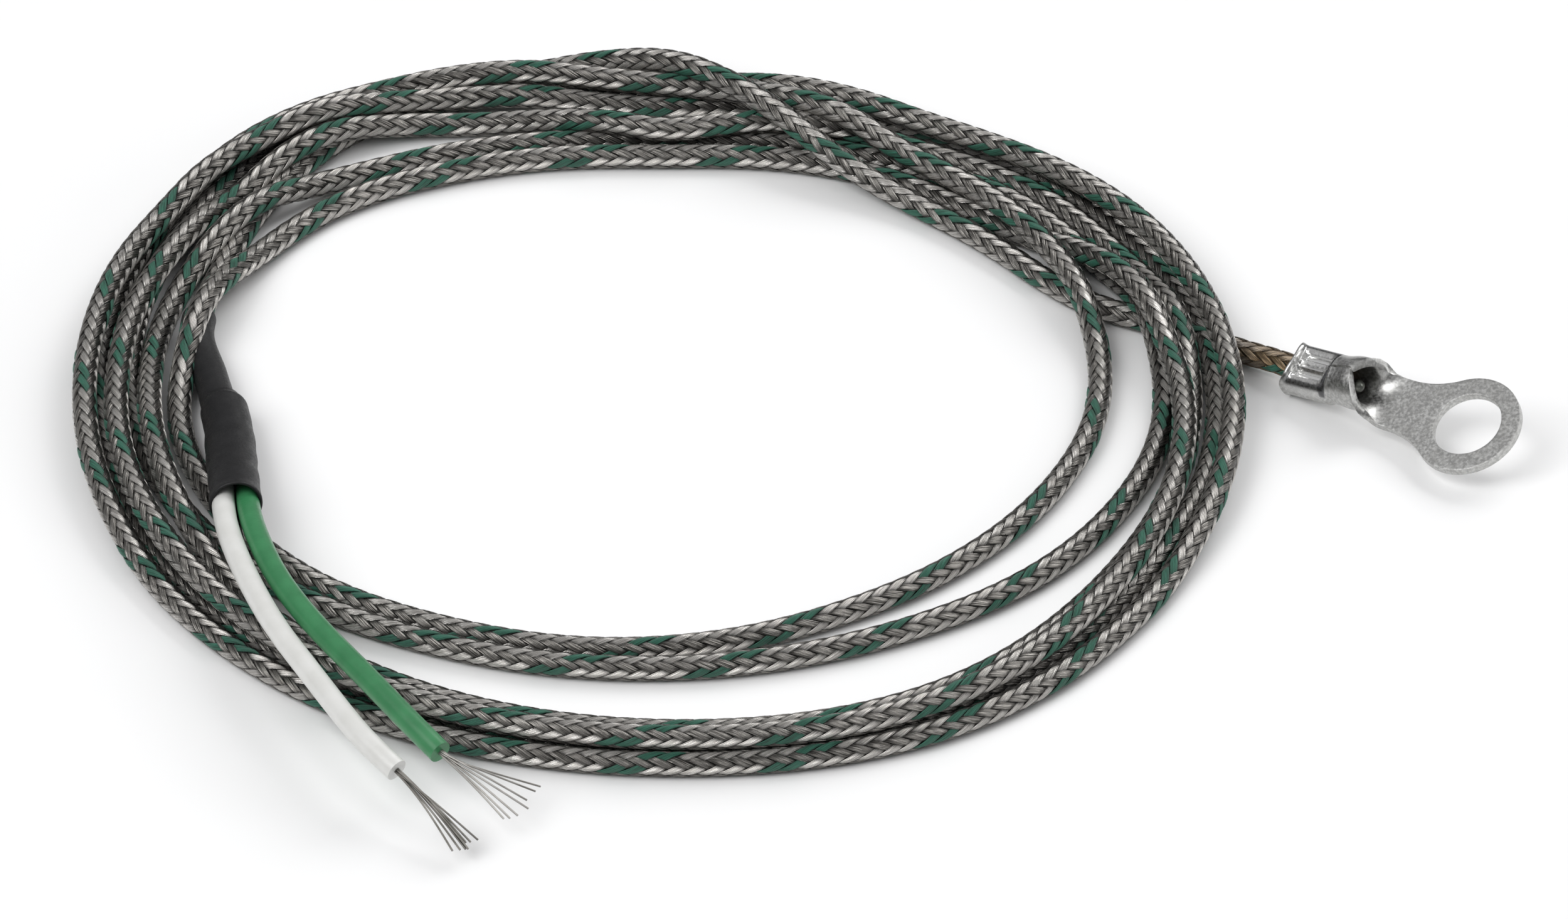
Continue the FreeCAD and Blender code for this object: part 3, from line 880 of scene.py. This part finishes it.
def lumps(seed, size):
    """Gentle uneven swelling of a shrunk sleeve."""
    rng = np.random.default_rng(seed)
    waves = rng.uniform(-1, 1, (6, 3))

    def swell(s, a):
        total = 0 * s
        for amount, rate, shift in waves:
            total = total + amount * np.sin(s * (1.1 + 0.9 * rate) + 2 * a * (rate > 0) + 6 * shift)
        return size * total / 3
    return swell


def under_lump(a):
    """Two tails side by side under the wide sleeve."""
    return TAIL_SWELL * np.cos(2 * a)


# ---------------------------------------------------------------- build
def build_camera():
    """The photograph's view: a long lens, looking down at the floor."""
    scene = bpy.context.scene
    data = bpy.data.cameras.new("camera")
    data.lens = CAMERA_LENS
    data.sensor_width = SENSOR_WIDTH
    data.clip_end = 20.0
    camera = link("camera", data)
    tilt = math.radians(CAMERA_ELEVATION)
    camera.location = (AIM[0], AIM[1] - CAMERA_DISTANCE * math.cos(tilt), CAMERA_DISTANCE * math.sin(tilt))
    camera.rotation_euler = (math.radians(90 - CAMERA_ELEVATION), 0, 0)
    scene.camera = camera


def build_light():
    """Three large lamps and a sky that is dark low down and bright overhead."""
    scene = bpy.context.scene
    for name, place, size, power in LAMPS:
        lamp = bpy.data.lights.new(name, "AREA")
        lamp.size = size
        lamp.energy = power
        light = link(name, lamp)
        light.location = place
        light.rotation_euler = (Vector(AIM) - Vector(place)).to_track_quat("-Z", "Y").to_euler()
    world = bpy.data.worlds.new("studio")
    world.use_nodes = True
    tree = world.node_tree
    background = tree.nodes["Background"]
    coordinate = add_node(tree, "ShaderNodeTexCoord")
    split = add_node(tree, "ShaderNodeSeparateXYZ")
    tree.links.new(coordinate.outputs["Generated"], split.inputs[0])
    height = map_range(tree, split.outputs[2], 0.10, 0.95)
    sky = mix_colour(tree, height, (0.14, 0.14, 0.145), (1.0, 1.0, 1.01))
    tree.links.new(sky, background.inputs["Color"])
    background.inputs["Strength"].default_value = SKY_STRENGTH
    scene.world = world
    scene.view_settings.view_transform = "Standard"


def build_floor():
    """Pale, almost even ground that takes the soft shadows."""
    made, tree, shader = material("pale_floor", (0.9, 0.9, 0.9), 0.0, 0.8)
    tone = noise(tree, 3.0, 2.0)
    colour = mix_colour(tree, tone, (0.90, 0.90, 0.90), (0.92, 0.92, 0.92))
    tree.links.new(colour, shader.inputs["Base Color"])
    mesh = bpy.data.meshes.new("floor")
    corners = [(x * FLOOR_REACH, y * FLOOR_REACH, 0) for x, y in ((-1, -1), (1, -1), (1, 1), (-1, 1))]
    mesh.from_pydata(corners, [], [(0, 1, 2, 3)])
    mesh.materials.append(made)
    floor = link("floor", mesh)


def build_strands(name, path, fans, tip_height, made, replaced_core):
    """Seven bare wires that leave the tail together and fan out."""
    end = path.points[-1]
    ahead = path.tangents[-1]           # along the tail, and then level, and to its left
    flat = np.array([ahead[0], ahead[1], 0.0])
    flat /= np.linalg.norm(flat)
    across = np.array([-flat[1], flat[0], 0.0])
    pieces = []
    for index, fan in enumerate(fans):
        around = math.pi * (1 + 2 * index / (len(fans) - 1))
        ring = 0.0 if index == len(fans) // 2 else STRAND_RING * STRAND_RADIUS
        side = across * (ring * math.cos(around)) + np.array([0.0, 0.0, ring * math.sin(around)])
        reach = STRAND_REACH * (0.95 + 0.025 * (index * 5 % 4))
        points = [tuple(end - ahead * STRAND_INSET + side), tuple(end + side)]
        for share in (0.2, 0.4, 0.7, 1.0):
            heading = math.radians(fan) * share ** 0.35
            place = end + side * (1 - 0.4 * share)
            place = place + (flat * math.cos(heading) + across * math.sin(heading)) * reach * share
            place[2] += (tip_height - end[2]) * share + STRAND_ARCH * math.sin(math.pi * share)
            points.append(tuple(place))
        piece = nurbs_curve("%s_%d_wire" % (name, index + 1), points, STRAND_RADIUS, 12, 3)
        piece.data.materials.append(made)
        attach(piece, BODY)
        nodes = ["%s_%d" % (name, index + 1)]
        if index == 0:
            nodes.append(replaced_core)
        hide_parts(*nodes)
        pieces.append(piece)
    return pieces


def build_lead(inside):
    """The lead's spline and core, and its braid of sixteen ribbons."""
    cable_points = [inside] + LEAD_ROUTE + coil_points() + END_ROUTE
    path = Path(spline_points(cable_points, 6))
    core = nurbs_curve("braided_cable_core", cable_points, CORE_RADIUS, 6, 4)
    core.data.materials.append(core_material())
    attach(core, BODY)
    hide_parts("braided_cable_lead", "braided_cable_coil", "braided_cable_end")
    # Painted light: lit and shaded copies of one steel, the right-hand ribbons painted light and the
    # left-hand ones painted dark, as light falls on the two ways.
    steel = {1: braid_material("steel_braid_painted_lit", 0.0, (0.42, 0.40, 0.37), (0.92, 0.89, 0.85), 0.75),
             -1: braid_material("steel_braid_painted_shade", 3.0, (0.035, 0.033, 0.030), (0.46, 0.44, 0.41), 1.0)}
    tracer = tracer_material()
    ribbons = []
    for way, word in ((1, "right"), (-1, "left")):
        for carrier in range(CARRIERS):
            green = way > 0 and carrier in TRACERS
            piece = ribbon(path, "braid_%s_%d" % (word, carrier + 1), carrier, way,
                           tracer if green else steel[way])
            ribbons.append(piece)
    return core, path, ribbons


def build_heat_shrinks():
    """The narrow sleeve over the braid's end, and the wide one over it and the tails."""
    shrink = heat_shrink_material()
    narrow_path = Path(spline_points(NARROW_START + END_ROUTE, 24))
    bumps = lumps(4, 0.07)

    def narrow_radius(s, a):
        shrunk = smooth(s, 0.0, 1.2)
        return NARROW_MOUTH_RADIUS + (NARROW_RADIUS - NARROW_MOUTH_RADIUS) * shrunk + bumps(s, a)

    narrow = sleeve(narrow_path, "narrow_heat_shrink_sleeve", narrow_radius, NARROW_WALL,
                    NARROW_MOUTH_DEPTH, shrink)
    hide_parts("narrow_heat_shrink")
    wide_path = Path(spline_points(WIDE_ROUTE, 24))
    swell = lumps(9, 0.05)
    total = wide_path.length

    def wide_radius(s, a):
        shoulder = SHOULDER_RADIUS + (WIDE_RADIUS - SHOULDER_RADIUS) * smooth(s, 0.0, 1.5)
        lip = WIDE_LIP * smooth(s, total - 1.2, total)
        return shoulder + swell(s, a) + lip + under_lump(a) * smooth(s, 3, 9)

    wide = sleeve(wide_path, "wide_heat_shrink_sleeve", wide_radius, WIDE_WALL, WIDE_MOUTH_DEPTH, shrink)
    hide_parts("wide_heat_shrink")
    return narrow, wide


def build_tails():
    """The two insulated tails, each with its path and its bare strands."""
    bright = wire_material("positive_wire", (0.24, 0.23, 0.215), (0.36, 0.35, 0.33))
    dull = wire_material("negative_wire", (0.10, 0.095, 0.085), (0.22, 0.21, 0.195))
    green = insulation_material("green_insulation", (0.034, 0.185, 0.072), (0.045, 0.225, 0.090))
    white = insulation_material("white_insulation", (0.66, 0.66, 0.635), (0.71, 0.71, 0.69))
    tails = []
    for name, route, colour, pole, fans, tip, wires in (
            ("green", GREEN_ROUTE, green, "positive", POSITIVE_FAN, POSITIVE_TIP, bright),
            ("white", WHITE_ROUTE, white, "negative", NEGATIVE_FAN, NEGATIVE_TIP, dull)):
        tail_path = Path(spline_points(route, 16))
        tail = nurbs_curve("%s_tail" % name, route, TAIL_RADIUS, 16, 8)
        tail.data.materials.append(colour)
        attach(tail, BODY)
        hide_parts("%s_lead_sleeve" % name)
        strands = build_strands("%s_strand" % pole, tail_path, fans, tip, wires, "%s_core_tail" % pole)
        tails.append((tail, tail_path, strands))
    return tails


def shade_inner_nodes():
    """Materials of the pieces that stay as they are, inside the barrel."""
    tinted = wire_material("tinted_braid", (0.10, 0.07, 0.045), (0.30, 0.23, 0.15))
    bead = wire_material("bead_metal", (0.16, 0.17, 0.15), (0.52, 0.53, 0.50))
    conductor = wire_material("positive_core", (0.35, 0.35, 0.33), (0.65, 0.64, 0.61))
    for node, made in (("cable_end_in_barrel", tinted), ("junction_bead", bead),
                       ("positive_core_end", conductor), ("negative_core_end", conductor)):
        mesh = frame["nodes"][node].data
        mesh.materials.clear()
        mesh.materials.append(made)


def main():
    build_camera()
    build_light()
    build_floor()
    inside = tuple(to_row(bent([INSIDE_BARREL]))[0])
    core, path, ribbons = build_lead(inside)
    narrow, wide = build_heat_shrinks()
    tails = build_tails()
    terminal_mesh()
    shade_inner_nodes()


main()
